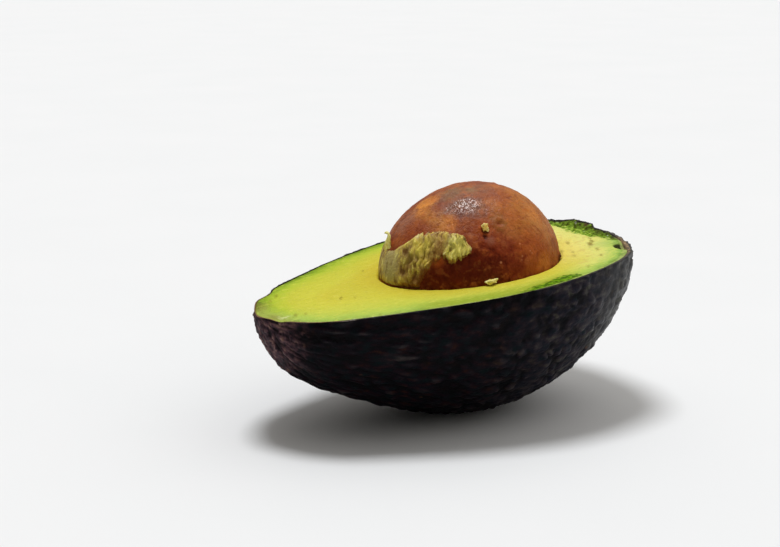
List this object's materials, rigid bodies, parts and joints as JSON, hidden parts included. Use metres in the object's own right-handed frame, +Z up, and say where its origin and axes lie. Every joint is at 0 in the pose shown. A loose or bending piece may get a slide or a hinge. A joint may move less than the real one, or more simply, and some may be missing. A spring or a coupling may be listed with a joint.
{
  "type": "avocado half",
  "caption": "Half of a ripe avocado lying on its rounded back, cut face up, with the seed in its hollow and a scrap of torn flesh stuck to the seed.",
  "frame": {"origin": "centre of the small flat spot on the peel that the half lies on, under its centre of mass", "axes": "+X along the fruit from the stem end to the blossom end, +Y across it, +Z up, out of the cut face"},
  "size_m": [0.0996, 0.069, 0.0583],
  "materials": {
    "skin": "satin",
    "flesh": "satin",
    "seed_coat": "satin",
    "torn_flesh": "satin"
  },
  "bodies": {
    "root": {"peel": "skin", "flesh": "flesh", "seed": "seed_coat", "pulp_patch": "torn_flesh", "pulp_crumb_foot": "torn_flesh", "pulp_crumb_crown": "torn_flesh"}
  },
  "joints": []
}
